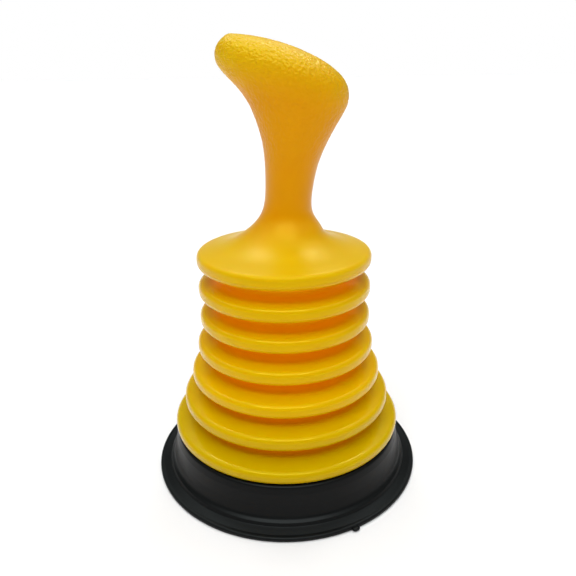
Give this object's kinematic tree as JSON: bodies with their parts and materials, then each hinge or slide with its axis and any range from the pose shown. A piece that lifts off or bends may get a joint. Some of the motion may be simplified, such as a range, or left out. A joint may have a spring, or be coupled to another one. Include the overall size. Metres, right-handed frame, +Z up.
{
  "type": "sink plunger",
  "caption": "Bellows sink plunger: a hollow yellow plastic body with a palm grip and stepped folds, in a flared black rubber cup.",
  "frame": {"origin": "centre of the circle that the rubber lip stands on", "axes": "+Z up along the plunger's axis, -X towards the grip's overhanging end, +Y to its other side"},
  "size_m": [0.14, 0.14, 0.215],
  "materials": {
    "yellow_plastic": "semi-gloss moulded polyethylene, leather grain on the grip",
    "black_rubber": "satin moulded rubber"
  },
  "bodies": {
    "handle": {"handle": "yellow_plastic"},
    "fold_1": {"fold_crest_1": "yellow_plastic", "fold_web_1": "yellow_plastic"},
    "fold_2": {"fold_crest_2": "yellow_plastic", "fold_web_2": "yellow_plastic"},
    "fold_3": {"fold_crest_3": "yellow_plastic", "fold_web_3": "yellow_plastic"},
    "fold_4": {"fold_crest_4": "yellow_plastic", "fold_web_4": "yellow_plastic"},
    "fold_5": {"fold_crest_5": "yellow_plastic", "fold_web_5": "yellow_plastic"},
    "cup": {"rubber_cup": "black_rubber", "bottom_fold": "yellow_plastic", "fold_web_6": "yellow_plastic"}
  },
  "joints": [
    {"name": "fold_5_press", "type": "slide", "parent": "cup", "child": "fold_5", "axis": [0, 0, 1], "range_m": [-0.0055, 0.002], "stiffness_N_per_m": 4000, "deforming": ["fold_web_6"]},
    {"name": "fold_4_press", "type": "slide", "parent": "fold_5", "child": "fold_4", "axis": [0, 0, 1], "range_m": [-0.0055, 0.002], "stiffness_N_per_m": 4000, "deforming": ["fold_web_5"]},
    {"name": "fold_3_press", "type": "slide", "parent": "fold_4", "child": "fold_3", "axis": [0, 0, 1], "range_m": [-0.0055, 0.002], "stiffness_N_per_m": 4000, "deforming": ["fold_web_4"]},
    {"name": "fold_2_press", "type": "slide", "parent": "fold_3", "child": "fold_2", "axis": [0, 0, 1], "range_m": [-0.0055, 0.002], "stiffness_N_per_m": 4000, "deforming": ["fold_web_3"]},
    {"name": "fold_1_press", "type": "slide", "parent": "fold_2", "child": "fold_1", "axis": [0, 0, 1], "range_m": [-0.0055, 0.002], "stiffness_N_per_m": 4000, "deforming": ["fold_web_2"]},
    {"name": "handle_press", "type": "slide", "parent": "fold_1", "child": "handle", "axis": [0, 0, 1], "range_m": [-0.0055, 0.002], "stiffness_N_per_m": 4000, "deforming": ["fold_web_1"]}
  ],
  "couplings": [
    {"joint": "fold_5_press", "follows": "handle_press", "ratio": 1},
    {"joint": "fold_4_press", "follows": "handle_press", "ratio": 1},
    {"joint": "fold_3_press", "follows": "handle_press", "ratio": 1},
    {"joint": "fold_2_press", "follows": "handle_press", "ratio": 1},
    {"joint": "fold_1_press", "follows": "handle_press", "ratio": 1}
  ]
}
